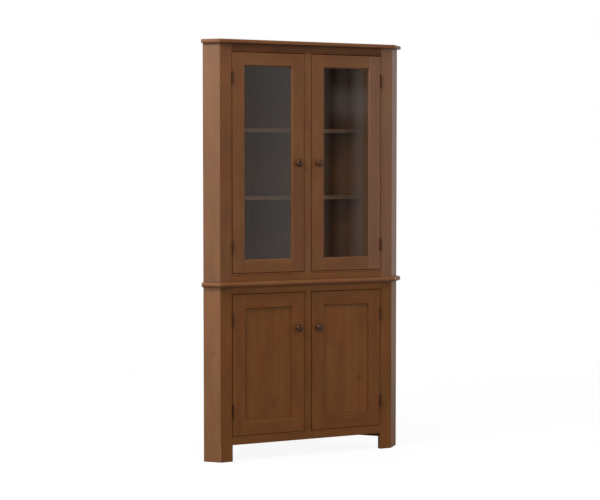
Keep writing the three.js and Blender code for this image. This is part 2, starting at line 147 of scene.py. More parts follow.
# Tone, from 0 in the darkest stain to 1 in the lightest, and how far each thing moves it
MIDDLE_TONE = 0.53
DRAWN_TONE = 0.06  # a piece's random draw
STREAK_TONE = 0.55
FIBRE_TONE = 0.40
BLOTCH_TONE = 0.75
RING_TONE = 0.02
BOARD_TONE = 0.5
KNOT_TONE = 0.5
PIECE_TONE_AND_LIGHT = {  # how much lighter than the others a piece is coloured: partly its stain, partly painted light and shade
    # the left base return's lighter tone is partly painted light, and the top rail's darker one
    # painted shade under the top board
    "base_left_return": 0.26,
    "base_right_return": 0.08,
    "base_bottom_rail": 0.06,
    "waist_board": 0.15,
    "upper_left_return": 0.06,
    "upper_top_rail": -0.4,
    "base_top_rail": 0.26,
    "base_left_stile": 0.05,
    "base_right_stile": 0.08,
    "base_left_door_panel": 0.12,
    "base_right_door_panel": 0.13,
    "upper_centre_stile": 0.06,
    "upper_right_door_lock_stile": 0.18,
}
PIECE_YELLOW = {  # how much yellower it came out
    "upper_left_return": 0.45,
    "base_left_return": 0.35,
}

# Finish: the gloss of each unit, of what lies inside it and of single pieces, and the rest
UPPER_GLOSS = 0.28
BASE_GLOSS = 0.15
INNER_GLOSS = 0.12
PIECE_GLOSS = {
    "upper_top_rail": 0.17,
    "upper_bottom_rail": 0.20,
    "base_right_return": 0.22,
    "upper_left_return": 0.45,
    "base_left_return": 0.42,
    "upper_right_return": 0.44,
    "upper_right_stile": 0.50,
    "upper_right_door_hinge_stile": 0.50,
}
WOOD_ROUGHNESS = 0.36  # of the smoothest wood, and the most that two noises add to it
FIBRE_ROUGHNESS = 0.10
BLOTCH_ROUGHNESS = 0.08
WOOD_RELIEF = (0.35, 0.12 * MM)  # the bump's strength and distance
PORE_DEPTH = 0.8  # against the height of the fibres
PORE_DARKER = 0.35
PORE_RANGE = (0.60, 0.70)  # of the pore noise, from plain wood to a pore
WEAR = 0.35  # how much of the worn colour shows on a softened edge
WEAR_RANGE = (0.35, 0.65)  # of the blotch noise, from no wear to all of it
WORN_LIGHTER = 1.3  # how much lighter than the lightest stain the worn colour is
MOULDED_DARKER = 0.6  # how much darker the sloping faces inside a door's frame are coloured

# Noises of the grain: repeats in a metre across and along it, detail and roughness
GRAIN_NOISES = {
    "warp": (4.0, 0.9, 2, 0.5),
    "streak": (45.0, 1.6, 3, 0.6),
    "hue": (15.0, 5.0, 2, 0.5),
    "fibre": (650.0, 9.0, 3, 0.6),
    "pore": (1500.0, 28.0, 1, 0.5),
    "blotch": (13.0, 5.5, 3, 0.55),
}

# Year rings: how far from a board the tree's heart lies, how it leans, and how the rings waver
RING_PITCH = 7 * MM
RING_WAVER = 0.045
HEART_DISTANCE = (0.05, 0.11)
HEART_LEAN = 0.03

# Random draws
PATTERN_REACH = 5  # each piece's pattern is moved by up to this much
BOARD_REACH = 3.0  # and that of each board of a back by up to this much more
SEED_START, SEED_STEP = 3, 7
HEART_SEED = 100  # added to a piece's seed for the draws of its year rings and tone

# Backs
BOARDS_PER_BACK = 9

# Knots: where they lie on a piece, as shares of its width and height, and their radius
KNOTS = {
    "base_left_door_panel": (0.62, 0.15, 9 * MM),
    "base_right_door_panel": (0.80, 0.33, 7 * MM),
    "base_left_return": (0.5, 0.62, 6 * MM),
    "upper_right_door_hinge_stile": (0.55, 0.30, 5 * MM),
}
KNOT_HEIGHT = 1.5  # a knot is this much taller than it is wide
KNOT_CORE = (0.35, 1.0)  # it fades between these shares of its radius
KNOT_HALO = (0.8, 2.6)  # and so does the shade round it
HALO_SHADE = 0.35  # as a share of the knot's own

# Softened edges of the wood
ARRIS = 0.8 * MM
ARRIS_STEPS = 2
ARRIS_ANGLE = math.radians(40)  # a sharper edge than this is softened
ARRIS_SHORTEST = 6 * MM
ARRIS_PROBES = (0.2, 0.5, 0.8)  # where along an edge it may touch another piece
TOUCHING = 0.4 * MM  # an edge this close to another piece stays as it is
SHARP_ANGLE = math.radians(35)
FLAT_ANGLE = math.radians(0.5)  # faces that meet at less than this are joined
SAME_PLACE = 0.001 * MM  # and so are corners this close to each other
ROUND = 0.5  # a bevel's profile

# Faces that are told apart
FRONT_FACING = 0.9  # how far the normal of a front face points to the front, from 0 to 1
SLOPING = (0.3, 0.9)  # and that of a sloping one
BEAD_WIDTH = 8 * MM  # a glazing bead's lying parts are this high at its foot and head
KNUCKLE_CUT = 0.1 * MM  # a door's hinge knuckles are cut off this far in front of its face

# Metals: the dark and light colours of the patina, and the roughness
KNOB_BRONZE = ((0.050, 0.024, 0.014), (0.096, 0.050, 0.033), 0.36)
HINGE_IRON = ((0.048, 0.023, 0.011), (0.078, 0.039, 0.020), 0.44)
SCREW_STEEL = ((0.080, 0.055, 0.040), (0.130, 0.095, 0.070), 0.36)
CATCH_BROWN = ((0.030, 0.018, 0.012), (0.044, 0.028, 0.019), 0.50)
PATINA_SCALE, PATINA_DETAIL, PATINA_BREAKUP = 260.0, 4, 0.6
CLOUD_SCALE, CLOUD_DETAIL = 60.0, 2
COLOUR_RANGE = (0.75, 1.25)  # of patina and cloud together, from the dark colour to the light one
POLISH_RANGE = (0.3, 0.7)  # of the patina, from the smoothest metal to the roughest
POLISH = 0.08  # how far the roughness strays either way
METAL_RELIEF = (0.2, 0.1 * MM)

# Glass
GLASS_IOR = 1.45
GLASS_TINT = (0.97, 0.98, 0.975, 1)
PANE_FACES = 2.0  # one face mirrors for both

# Knobs: points of the turned profile, as shares of the head's radius and of how far it stands out
KNOB_FACETS = 64
KNOB_STEPS = 10
ROSE_STEPS = 4
SPIGOT_RADIUS = 0.22
ROSE_FOOT = (0.62, 0.03)
ROSE_RIM = (0.5332, 0.10)
NECK_LOW, NECK_HIGH = (0.42, 0.26), (0.42, 0.34)
HEAD_BACK = (0.97, 0.62)
HEAD_RIM = ((1.0, 0.65), (1.0, 0.67))
HEAD_CROWN = (0.985, 0.71)

# Hinges
HINGE_FACETS = 40
HINGE_LENGTH = 57 * MM
KNUCKLES = 5
KNUCKLE_RADIUS = 3.3 * MM
KNUCKLE_CHAMFER = 0.35 * MM
KNUCKLE_SPLIT = 0.15 * MM
LEAF_WIDTH = 16 * MM
LEAF_THICKNESS = 1.6 * MM
LEAF_CORNER = 2.2 * MM
LEAF_CORNER_STEPS = 6
LEAF_PROUD = 0.12 * MM
DOOR_GAP = 2 * MM
PIN_PROUD = 3.6 * MM

# A finial's profile, as shares of its radius and length, up to where its tip begins
FINIAL_RADIUS = 2.6 * MM
FINIAL_STEM = ((1.0, 0.0), (1.0, 0.12), (0.72, 0.20), (0.72, 0.30))
FINIAL_TIP = (0.86, 0.42)
FINIAL_STEPS = 6

# Screws
SCREW_RADIUS = 3.1 * MM
SCREW_FACETS = 24
SCREW_THICKNESS = 0.4 * MM
SCREW_TAPER = 0.9
CROSS_REACH, CROSS_HALF_WIDTH = 0.62, 0.17  # of the recess's arms, as shares of the radius
CROSS_TAPER = 0.8
CROSS_DEPTH = 0.35 * MM
SCREWS_PER_LEAF = 3
LEAF_SCREWS_ACROSS = (0.62, 0.42)  # they stand staggered at these shares of the leaf's width
LEAF_SCREWS_SPREAD = 0.92  # and over this share of its length
LEAF_SCREW_PROUD = 0.04 * MM

# Magnetic catches
CATCH_LENGTH = 40 * MM
CATCH_HEIGHT = 24 * MM
CATCH_DEPTH = 12 * MM
CATCH_DROP = 11 * MM  # how far the housing hangs below the rail
CATCH_EAR = 9 * MM
CATCH_SOFTNESS = 1 * MM
CATCH_ROOM = 0.3 * MM
CATCH_MARGIN = 1 * MM  # how far the ears and the strike plate keep from the housing's lines
CATCH_SCREW_PROUD = 0.3 * MM
KEEPER_PLACES = (0.25, 0.65)  # of the drop, from the housing's foot
KEEPER_SOFTNESS = 0.2 * MM
PLATE_THICKNESS = 1.2 * MM
PLATE_MARGIN = 3 * MM
PLATE_SOFTNESS = 0.3 * MM
SOFT_STEPS = 2

# Nails of the backs, and where they lie across a board
NAIL_RADIUS = 2.2 * MM
NAIL_DOME = 0.4 * MM
NAIL_SHOULDER = (0.6, 0.8)  # of its radius and of its dome
NAIL_DEPTH = 1 * MM
NAIL_FACETS = 12
NAIL_SHARES = (0.2, 0.8)


def new_object(name, mesh):
    made = bpy.data.objects.new(name, mesh)
    bpy.context.scene.collection.objects.link(made)
    return made


def mesh_from(name, build):
    """An object with the mesh that a function fills in."""
    bm = bmesh.new()
    build(bm)
    bmesh.ops.recalc_face_normals(bm, faces=bm.faces)
    mesh = bpy.data.meshes.new(name)
    bm.to_mesh(mesh)
    bm.free()
    return new_object(name, mesh)


def shade(piece):
    """Rounded faces shade as round and flat ones as flat."""
    mesh = piece.data
    mesh.polygons.foreach_set("use_smooth", [True] * len(mesh.polygons))
    mesh.set_sharp_from_angle(angle=SHARP_ANGLE)
    weighted = piece.modifiers.new("shading", "WEIGHTED_NORMAL")
    weighted.keep_sharp = True


# Camera


def place_camera():
    data = bpy.data.cameras.new("photo_camera")
    data.sensor_width = SENSOR_WIDTH
    data.lens = FOCAL_PIXELS / PHOTO_WIDTH * SENSOR_WIDTH
    camera = bpy.data.objects.new("photo_camera", data)
    camera.location = CAMERA_PLACE
    camera.rotation_mode = "QUATERNION"
    camera.rotation_quaternion = Vector(CAMERA_DIRECTION).to_track_quat("-Z", "Y")
    bpy.context.scene.collection.objects.link(camera)
    bpy.context.scene.camera = camera


# Node trees


class Tree:
    """A material's or the world's node tree, built by calls that return sockets."""

    def __init__(self, owner):
        owner.use_nodes = True
        self.owner = owner
        self.tree = owner.node_tree
        self.tree.nodes.clear()

    def node(self, kind, values=None, **settings):
        made = self.tree.nodes.new("ShaderNode" + kind)
        for key, value in settings.items():
            setattr(made, key, value)
        for key, value in (values or {}).items():
            if isinstance(value, bpy.types.NodeSocket):
                self.tree.links.new(value, made.inputs[key])
            else:
                made.inputs[key].default_value = value
        return made

    def math(self, operation, a, b=0.0):
        return self.node("Math", {0: a, 1: b}, operation=operation).outputs[0]

    def add(self, a, b):
        return self.math("ADD", a, b)

    def subtract(self, a, b):
        return self.math("SUBTRACT", a, b)

    def times(self, a, b):
        return self.math("MULTIPLY", a, b)

    def swing(self, value, size):
        """A value that lies about a half, as one of a given size about 0."""
        return self.times(self.subtract(value, 0.5), size)

    def vector(self, x, y, z):
        return self.node("CombineXYZ", {0: x, 1: y, 2: z}).outputs[0]

    def split(self, vector):
        return self.node("SeparateXYZ", {0: vector}).outputs

    def place(self):
        return self.node("TexCoord").outputs["Object"]

    def noise(self, vector, scale=1.0, detail=2.0, roughness=0.5):
        values = {"Vector": vector, "Scale": scale, "Detail": detail, "Roughness": roughness}
        return self.node("TexNoise", values).outputs[0]

    def stretch(self, value, low, high, to_low=0.0, to_high=1.0):
        values = {0: value, 1: low, 2: high, 3: to_low, 4: to_high}
        return self.node("MapRange", values).outputs[0]

    def blend(self, factor, a, b, kind="MIX"):
        made = self.node("Mix", {0: factor, 6: a, 7: b}, data_type="RGBA", blend_type=kind)
        return made.outputs[2]

    def bump(self, height, relief):
        strength, distance = relief
        values = {"Strength": strength, "Distance": distance, "Height": height}
        return self.node("Bump", values).outputs[0]

    def mark(self, name):
        return self.node("Attribute", attribute_name=name).outputs["Fac"]

    def finish(self, shader, kind="OutputMaterial"):
        self.node(kind, {"Surface": shader})
        return self.owner


def new_tree(name):
    return Tree(bpy.data.materials.new(name))


def looked_at(tree):
    """1 for rays from the camera and through glass, and 0 for the others."""
    path = tree.node("LightPath").outputs
    return tree.math("MAXIMUM", path["Is Camera Ray"], path["Is Transmission Ray"])


def looked_at_or_mirrored(tree):
    """1 for those rays and for the ones from gloss, and 0 for the others."""
    mirrored = tree.node("LightPath").outputs["Is Glossy Ray"]
    return tree.math("MAXIMUM", looked_at(tree), mirrored)


# Floor, world and lamps


def place_floor():
    tree = new_tree("floor_white")
    direct = looked_at(tree)
    colour = tree.stretch(direct, 0.0, 1.0, FLOOR_LIT, FLOOR_SEEN)
    dull = tree.node("BsdfDiffuse", {"Color": colour}).outputs[0]
    plain = tree.node("Emission", {"Color": WHITE}).outputs[0]
    away = tree.node("VectorMath", {0: tree.place()}, operation="LENGTH").outputs["Value"]
    near = tree.stretch(direct, 0.0, 1.0, FLOOR_MIRRORED, FLOOR_WHITE)
    white = tree.stretch(away, FLOOR_NEAR, FLOOR_FAR, near, 1.0)
    share = tree.times(looked_at_or_mirrored(tree), white)
    material = tree.finish(tree.node("MixShader", {0: share, 1: dull, 2: plain}).outputs[0])

    def build(bm):
        bmesh.ops.create_grid(bm, x_segments=1, y_segments=1, size=FLOOR_SIZE / 2)

    floor = mesh_from("floor", build)
    floor.data.materials.append(material)


def set_world():
    """Soft light from all round, and white where the world itself is seen."""
    tree = Tree(bpy.data.worlds.new("studio"))
    around = tree.node("Background", {"Color": WHITE, "Strength": AMBIENT}).outputs[0]
    white = tree.node("Background", {"Color": WHITE}).outputs[0]
    mixed = tree.node("MixShader", {0: looked_at_or_mirrored(tree), 1: around, 2: white})
    bpy.context.scene.world = tree.finish(mixed.outputs[0], "OutputWorld")


def card_tones(tree, across):
    """The card's colour from left to right, as a share of its peak: painted reflections, painted
    shade and a painted sheen.
    """
    ramp = tree.node("ValToRGB", {0: tree.stretch(across, CARD_LEFT, CARD_RIGHT)})
    stops = ramp.color_ramp.elements
    stops.remove(stops[1])
    for i, (place, level, tint) in enumerate(CARD_TONES):
        share = (place - CARD_LEFT) / (CARD_RIGHT - CARD_LEFT)
        stop = stops.new(share) if i else stops[0]
        stop.position = share
        stop.color = (*(level / CARD_PEAK * part for part in tint), 1)
    return ramp.outputs[0]


def painted_light_patch(tree, across, up):
    """The painted light patch, which is soft on the left, below and above."""
    side = tree.stretch(across, PATCH_LEFT, PATCH_LEFT + PATCH_SOFTNESS, 0.0, PATCH_TONE)
    rise = tree.stretch(up, PATCH_FOOT - PATCH_SOFTNESS, PATCH_FOOT)
    fall = tree.stretch(up, PATCH_HEAD, PATCH_HEAD + PATCH_SOFTNESS, 1.0, 0.0)
    level = tree.times(side, tree.times(rise, fall))
    share = tree.math("DIVIDE", level, CARD_PEAK)
    return tree.vector(share, share, share)


# The glowing card: its light shows only in reflections, as painted reflections and a painted
# sheen
def place_glowing_card():
    tree = new_tree("glowing_reflection_card")
    across, _, up = tree.split(tree.place())
    colour = tree.blend(1.0, card_tones(tree, across), painted_light_patch(tree, across, up), "ADD")
    foot = tree.stretch(up, CARD_FOOT, CARD_FOOT + CARD_FADE, 1.0, 0.0)
    head = tree.stretch(up, CARD_HEAD - CARD_FADE, CARD_HEAD)
    around = (1 / CARD_PEAK, 1 / CARD_PEAK, 1 / CARD_PEAK, 1)
    colour = tree.blend(tree.add(foot, head), colour, around)
    glow = tree.node("Emission", {"Color": colour, "Strength": CARD_PEAK}).outputs[0]

    def build(bm):
        corners = [(CARD_LEFT, CARD_FOOT), (CARD_RIGHT, CARD_FOOT)]
        corners += [(CARD_RIGHT, CARD_HEAD), (CARD_LEFT, CARD_HEAD)]
        bm.faces.new([bm.verts.new((x, -CARD_DISTANCE, z)) for x, z in corners])

    card = mesh_from("glowing_reflection_card", build)
    card.data.materials.append(tree.finish(glow))
    card.visible_camera = False
    card.visible_diffuse = False
    card.visible_transmission = False
    card.visible_shadow = False


def place_softboxes():
    middle = (cad_low + cad_high) / 2
    for name, (place, side, level) in SOFTBOXES.items():
        data = bpy.data.lights.new(name, "AREA")
        data.shape = "SQUARE"
        data.size = side
        data.energy = level * math.pi * side ** 2
        lamp = bpy.data.objects.new(name, data)
        lamp.location = place
        lamp.rotation_mode = "QUATERNION"
        lamp.rotation_quaternion = (middle - Vector(place)).to_track_quat("-Z", "Y")
        bpy.context.scene.collection.objects.link(lamp)


# Wood


def along_grain(tree, grain, seed):
    """Object coordinates moved by a seed, as (across, across, along the grain)."""
    draw = random.Random(seed)
    shift = [draw.uniform(-PATTERN_REACH, PATTERN_REACH) for _ in range(3)]
    moved = tree.node("VectorMath", {0: tree.place(), 1: shift}, operation="ADD").outputs[0]
    x, y, z = tree.split(moved)
    return [y, z, x] if grain == "X" else [x, y, z]


def grain_noise(tree, axes, across, along, detail, roughness):
    """A noise with its own scales across and along the grain."""
    scales = (across, across, along)
    scaled = tree.vector(*(tree.times(axis, scale) for axis, scale in zip(axes, scales)))
    return tree.noise(scaled, detail=detail, roughness=roughness)


def board_step(low, high):
    """How far across the cupboard one board of a back reaches."""
    return max(abs(low.x), abs(high.x)) / BOARDS_PER_BACK


def board_draws(tree, node):
    """A random colour and a random value that are the same all over each board of a back."""
    low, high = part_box(node)
    side = 1 if "_right_" in node else -1
    x, y, _ = tree.split(tree.place())
    run = tree.add(tree.times(x, side), tree.subtract(high.y, y))
    index = tree.math("FLOOR", tree.math("DIVIDE", run, 2 * board_step(low, high)))
    white = tree.node("TexWhiteNoise", {"W": index}, noise_dimensions="1D")
    return white.outputs["Color"], white.outputs["Value"]


def knot_shade(tree, node):
    """1 in the middle of a piece's knot, and falling to 0 round it."""
    share_x, share_z, radius = KNOTS[node]
    low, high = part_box(node)
    x, _, z = tree.split(tree.place())
    aside = tree.subtract(x, low.x + (high.x - low.x) * share_x)
    above = tree.subtract(z, low.z + (high.z - low.z) * share_z)
    above = tree.math("DIVIDE", above, KNOT_HEIGHT)
    square = tree.add(tree.times(aside, aside), tree.times(above, above))
    away = tree.math("DIVIDE", tree.math("SQRT", square), radius)
    core = tree.stretch(away, *KNOT_CORE, 1.0, 0.0)
    halo = tree.stretch(away, *KNOT_HALO, HALO_SHADE, 0.0)
    return tree.math("MAXIMUM", core, halo)


def year_rings(tree, axes, warp, draw):
    """A wave from -1 to 1 about a heart that lies outside the board."""
    a, b, c = axes
    heart = [draw.uniform(*HEART_DISTANCE) * draw.choice((-1, 1)) for _ in range(2)]
    lean = draw.uniform(-HEART_LEAN, HEART_LEAN)
    near = tree.add(tree.add(a, heart[0]), tree.swing(warp, RING_WAVER))
    aside = tree.add(tree.add(b, heart[1]), tree.times(c, lean))
    square = tree.add(tree.times(near, near), tree.times(aside, aside))
    radius = tree.math("SQRT", square)
    return tree.math("SINE", tree.times(radius, 2 * math.pi / RING_PITCH))


def stain_ramp(tree, tone, stain):
    dark, middle, light = stain
    ramp = tree.node("ValToRGB", {0: tone})
    stops = ramp.color_ramp.elements
    stops[0].color = (*dark, 1)
    stops[1].color = (*light, 1)
    stops.new(0.5).color = (*middle, 1)
    return ramp.outputs[0]


def stain_colour(tree, stain, tone, noises, pores, piece):
    """The stain in its tone and hue, darker in pores and mouldings and worn along edges."""
    dark, _, light = stain
    colour = stain_ramp(tree, tone, stain)
    redder = tree.blend(1.0, colour, RED_TINT, "MULTIPLY")
    yellower = tree.blend(1.0, colour, YELLOW_TINT, "MULTIPLY")
    yellow = tree.add(tree.stretch(noises["hue"], *HUE_RANGE), PIECE_YELLOW.get(piece, 0))
    colour = tree.blend(yellow, redder, yellower)
    colour = tree.blend(tree.times(pores, PORE_DARKER), colour, (*dark, 1))
    wear = tree.stretch(noises["blotch"], *WEAR_RANGE, 0.0, WEAR)
    worn_colour = (*(WORN_LIGHTER * part for part in light), 1)
    colour = tree.blend(tree.times(tree.mark("edge"), wear), colour, worn_colour)
    return tree.blend(tree.times(tree.mark("moulded"), MOULDED_DARKER), colour, (*dark, 1))


def wood(name, grain, seed, stain, gloss, piece=""):
    """Stained wood. A piece's name brings its own tone and hue, its knot or a back's boards; the
    tone is partly painted light and shade.
    """
    tree = new_tree(name)
    axes = along_grain(tree, grain, seed)
    draw = random.Random(seed + HEART_SEED)
    is_back = piece.endswith("_back")
    if is_back:
        shifts, board = board_draws(tree, piece)
        shifts = tree.split(shifts)
        shifts = [tree.times(shift, BOARD_REACH) for shift in shifts]
        axes = [tree.add(axis, shift) for axis, shift in zip(axes, shifts)]
    noises = {kind: grain_noise(tree, axes, *values) for kind, values in GRAIN_NOISES.items()}
    rings = year_rings(tree, axes, noises["warp"], draw)
    pores = tree.stretch(noises["pore"], *PORE_RANGE)

    # a random draw and the piece's listed shift: partly its stain, partly painted light and shade
    own = MIDDLE_TONE + draw.uniform(-DRAWN_TONE, DRAWN_TONE) + PIECE_TONE_AND_LIGHT.get(piece, 0)
    tone = tree.swing(noises["streak"], STREAK_TONE)
    tone = tree.add(tone, tree.swing(noises["fibre"], FIBRE_TONE))
    tone = tree.add(tone, tree.swing(noises["blotch"], BLOTCH_TONE))
    tone = tree.add(tone, tree.times(rings, RING_TONE))
    tone = tree.add(tone, own)
    if is_back:
        tone = tree.add(tone, tree.swing(board, BOARD_TONE))
    if piece in KNOTS:
        tone = tree.subtract(tone, tree.times(knot_shade(tree, piece), KNOT_TONE))

    fibre_rough = tree.times(noises["fibre"], FIBRE_ROUGHNESS)
    rough = tree.add(fibre_rough, tree.times(noises["blotch"], BLOTCH_ROUGHNESS))
    height = tree.subtract(noises["fibre"], tree.times(pores, PORE_DEPTH))
    values = {
        "Base Color": stain_colour(tree, stain, tone, noises, pores, piece),
        "Roughness": tree.add(rough, WOOD_ROUGHNESS),
        "Normal": tree.bump(height, WOOD_RELIEF),
        "Specular IOR Level": gloss,
    }
    return tree.finish(tree.node("BsdfPrincipled", values).outputs[0])


# Metal and glass


def metal(name, dark, light, roughness):
    """Dark metal with a patchy patina."""
    tree = new_tree(name)
    place = tree.place()
    patina = tree.noise(place, PATINA_SCALE, PATINA_DETAIL, PATINA_BREAKUP)
    cloud = tree.noise(place, CLOUD_SCALE, CLOUD_DETAIL)
    mixed = tree.stretch(tree.add(patina, cloud), *COLOUR_RANGE)
    values = {
        "Base Color": tree.blend(mixed, (*dark, 1), (*light, 1)),
        "Metallic": 1.0,
        "Roughness": tree.stretch(patina, *POLISH_RANGE, roughness - POLISH, roughness + POLISH),
        "Normal": tree.bump(patina, METAL_RELIEF),
    }
    return tree.finish(tree.node("BsdfPrincipled", values).outputs[0])


def pane_glass():
    """Clear glass that light goes straight through. The face that it enters mirrors for both."""
    tree = new_tree("pane_glass")
    fresnel = tree.node("Fresnel", {"IOR": GLASS_IOR}).outputs[0]
    outside = tree.subtract(1.0, tree.node("NewGeometry").outputs["Backfacing"])
    share = tree.times(tree.times(fresnel, PANE_FACES), outside)
    clear = tree.node("BsdfTransparent", {"Color": GLASS_TINT}).outputs[0]
    mirror = tree.node("BsdfGlossy", {"Color": WHITE, "Roughness": 0.0}).outputs[0]
    return tree.finish(tree.node("MixShader", {0: share, 1: clear, 2: mirror}).outputs[0])


# Boards: each wooden node's mesh with its free edges softened


class Neighbours:
    """Tells whether a point of one node lies against another."""

    def __init__(self):
        self.trees = {}
        self.boxes = {name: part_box(name) for name in nodes}
        for name, solid in nodes.items():
            bm = bmesh.new()
            bm.from_mesh(solid.data)
            self.trees[name] = BVHTree.FromBMesh(bm)
            bm.free()

    def touch(self, name, point):
        for other, tree in self.trees.items():
            low, high = self.boxes[other]
            inside = all(low[i] - TOUCHING < point[i] < high[i] + TOUCHING for i in range(3))
            if other != name and inside and tree.find_nearest(point, TOUCHING)[0] is not None:
                return True
        return False


def cut_knuckles(bm, front):
    """Takes off what stands in front of a door's face, and closes the wood there."""
    geometry = bm.verts[:] + bm.edges[:] + bm.faces[:]
    plane = (0, front - KNUCKLE_CUT, 0)
    cut = bmesh.ops.bisect_plane(
        bm, geom=geometry, plane_co=plane, plane_no=(0, -1, 0), clear_outer=True
    )
    rim = [e for e in cut["geom_cut"] if isinstance(e, bmesh.types.BMEdge)]
    bmesh.ops.holes_fill(bm, edges=rim)


def mark_corners(bm, name, faces):
    """Gives faces a corner attribute of 1 that the other faces don't have."""
    layer = bm.loops.layers.float.new(name)
    for face in faces:
        for corner in face.loops:
            corner[layer] = 1.0


def soften(bm, name, neighbours):
    """Softens the free convex edges, marks them in the attribute edge and returns their faces."""
    arrises = []
    for edge in bm.edges:
        if not edge.is_manifold or not edge.is_convex or edge.calc_length() < ARRIS_SHORTEST:
            continue
        if edge.calc_face_angle() < ARRIS_ANGLE:
            continue
        a, b = (v.co for v in edge.verts)
        if not any(neighbours.touch(name, a.lerp(b, share)) for share in ARRIS_PROBES):
            arrises.append(edge)
    made = bmesh.ops.bevel(
        bm,
        geom=arrises,
        offset=ARRIS,
        offset_type="OFFSET",
        segments=ARRIS_STEPS,
        profile=ROUND,
        affect="EDGES",
        clamp_overlap=True,
    )
    mark_corners(bm, "edge", made["faces"])
    return made["faces"]


def mark_moulded(bm, arrises):
    """Marks a door's sloping front faces, other than its softened edges."""
    low, high = SLOPING
    others = set(bm.faces) - set(arrises)
    mark_corners(bm, "moulded", [face for face in others if low < -face.normal.y < high])


def body_of(node):
    return next((door for door in doors if node.startswith(door)), "cabinet")


def grain_of(node):
    return "X" if node.endswith(LYING_ENDINGS) else "Z"


def gloss_of(node):
    gloss = BASE_GLOSS if node.startswith("base_") else UPPER_GLOSS
    gloss = INNER_GLOSS if node.endswith(INNER_ENDINGS) else gloss
    return PIECE_GLOSS.get(node, gloss)


def wooden_mesh(node, neighbours):
    bm = bmesh.new()
    bm.from_mesh(nodes[node].data)
    bmesh.ops.remove_doubles(bm, verts=bm.verts, dist=SAME_PLACE)
    bmesh.ops.dissolve_limit(bm, angle_limit=FLAT_ANGLE, verts=bm.verts, edges=bm.edges)
    if node.endswith("_hinge_stile"):
        cut_knuckles(bm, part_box(node.replace("_hinge_stile", "_lock_stile"))[0].y)
    arrises = soften(bm, node, neighbours)
    if "_door_" in node:
        mark_moulded(bm, arrises)
    mesh = bpy.data.meshes.new(node + "_wood")
    bm.to_mesh(mesh)
    bm.free()
    return mesh


def give_faces(mesh, look, chosen):
    """The faces that a test chooses get another look."""
    mesh.materials.append(look)
    for face in mesh.polygons:
        if chosen(face):
            face.material_index = 1


def wooden_piece(node, seed, neighbours):
    mesh = wooden_mesh(node, neighbours)
    piece = new_object(node + "_wood", mesh)
    shade(piece)
    inner = node.endswith(INNER_ENDINGS)
    # what lies inside takes the darker stain, which is partly painted shade
    stain = INNER_STAIN_AND_SHADE if inner else STAIN
    gloss = gloss_of(node)
    mesh.materials.append(wood(node + "_wood", grain_of(node), seed, stain, gloss, node))
    if "glazing_bead" in node:
        low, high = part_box(node)

        def at_foot_or_head(face):
            return min(face.center.z - low.z, high.z - face.center.z) < BEAD_WIDTH

        lying = wood(node + "_lying", "X", seed + 1, stain, gloss)
        give_faces(mesh, lying, at_foot_or_head)
    # the shelves' front faces get a lighter stain: painted light
    if "_shelf" in node:
        lipping = wood(node + "_lipping", "X", seed + 1, LIT_SHELF_FRONT_STAIN, gloss)
        give_faces(mesh, lipping, lambda face: face.normal.y < -FRONT_FACING)
    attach(piece, body_of(node))
    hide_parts(node)


def make_boards():
    neighbours = Neighbours()
    wooden = sorted(node for node in nodes if not node.endswith(NOT_WOOD_ENDINGS))
    for i, node in enumerate(wooden):
        wooden_piece(node, SEED_START + i * SEED_STEP, neighbours)


# Turned forms and metal pieces


def circle(radius, facets):
    angles = [2 * math.pi * i / facets for i in range(facets)]
    return [(radius * math.cos(angle), radius * math.sin(angle)) for angle in angles]


def wall(bm, lower, upper):
    """Faces between two rings of vertices."""
    for i in range(len(lower)):
        j = (i + 1) % len(lower)
        bm.faces.new((lower[i], lower[j], upper[j], upper[i]))


def revolve(bm, profile, facets, matrix):
    """A closed turned form from (radius, height) points that start and end on the axis."""
    rings = []
    for radius, height in profile[1:-1]:
        points = [Vector((x, y, height)) for x, y in circle(radius, facets)]
        rings.append([bm.verts.new(matrix @ point) for point in points])
    foot, head = (bm.verts.new(matrix @ Vector((0, 0, profile[i][1]))) for i in (0, -1))
    for i in range(facets):
        j = (i + 1) % facets
        bm.faces.new((foot, rings[0][j], rings[0][i]))
        bm.faces.new((head, rings[-1][i], rings[-1][j]))
    for lower, upper in zip(rings, rings[1:]):
        wall(bm, lower, upper)


def curve(start, end, bulge, steps):
    """Points of a quarter oval from start to end; bulge says which coordinate leads."""
    points = []
    for i in range(steps + 1):
        turn = math.pi / 2 * i / steps
        lead, lag = math.sin(turn), 1 - math.cos(turn)
        shares = (lead, lag) if bulge == "across" else (lag, lead)
        both = zip(start, end, shares)
        points.append(tuple(first + (last - first) * share for first, last, share in both))
    return points


def outline_point(shares, radius, low, rise):
    """A profile's point, from its shares of the radius and of the rise above low."""
    return (radius * shares[0], low + rise * shares[1])


def metal_piece(name, build, look, body, rounded=True):
    """A piece that a function builds, on a body."""
    piece = mesh_from(name, build)
    if rounded:
        shade(piece)
    piece.data.materials.append(look)
    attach(piece, body)
    return piece


# Knobs


def knob_profile(head, out, spigot):
    def at(shares):
        return outline_point(shares, head, 0, out)

    peg = head * SPIGOT_RADIUS
    profile = [(0, -spigot), (peg, -spigot), (peg, 0), (head * ROSE_FOOT[0], 0)]
    profile += curve(at(ROSE_FOOT), at(ROSE_RIM), "across", ROSE_STEPS)
    profile += curve(at(ROSE_RIM), at(NECK_LOW), "across", KNOB_STEPS)[1:]
    profile += curve(at(NECK_HIGH), at(HEAD_BACK), "along", KNOB_STEPS)
    profile += [at(shares) for shares in HEAD_RIM]
    profile += curve(at(HEAD_CROWN), (0, out), "along", KNOB_STEPS)
    return profile


def make_knob(door, metal_look):
    node = door + "_knob"
    low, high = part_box(node)
    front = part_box(door + "_lock_stile")[0].y
    middle = Vector(((low.x + high.x) / 2, front, (low.z + high.z) / 2))
    profile = knob_profile((high.x - low.x) / 2, front - low.y, high.y - front)
    facing = Matrix.Translation(middle) @ Matrix.Rotation(math.radians(90), 4, "X")

    def build(bm):
        revolve(bm, profile, KNOB_FACETS, facing)

    knob = metal_piece(node + "_turned", build, metal_look, door)
    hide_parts(node)


# Hinges: built about the pin, with x towards the door and y into the cupboard


